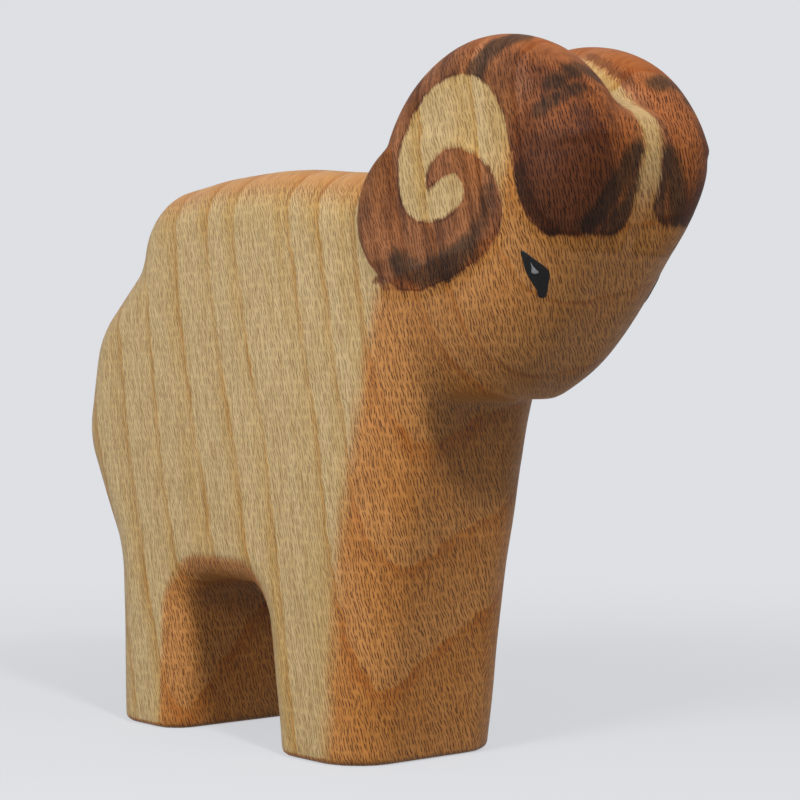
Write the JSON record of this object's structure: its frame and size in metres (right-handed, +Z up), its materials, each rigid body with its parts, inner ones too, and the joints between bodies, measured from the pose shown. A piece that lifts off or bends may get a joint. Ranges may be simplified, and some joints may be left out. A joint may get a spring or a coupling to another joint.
{
  "type": "sheep figurine",
  "caption": "Standing ram carved from one thick board of pale wood, with stained curled horns, painted eyes and a round-topped arch between slab legs.",
  "frame": {"origin": "bottom centre of the figure's box, on the floor between the legs", "axes": "+X the way the ram faces, +Y to its left, +Z up"},
  "size_m": [0.1168, 0.0302, 0.0993],
  "materials": {
    "maple": "sanded and oiled, satin",
    "horn_stain": "thin brown stain, the grain shows through",
    "horn_shading": "second, darker coat of stain",
    "eye_paint": "black paint, satin",
    "glint_paint": "pale grey paint, satin"
  },
  "bodies": {
    "root": {"carved_body": "maple", "right_horn_stain": "horn_stain", "left_horn_stain": "horn_stain", "right_horn_shading": "horn_shading", "left_horn_shading": "horn_shading", "right_eye": "eye_paint", "left_eye": "eye_paint", "right_eye_glint": "glint_paint", "left_eye_glint": "glint_paint"}
  },
  "joints": []
}
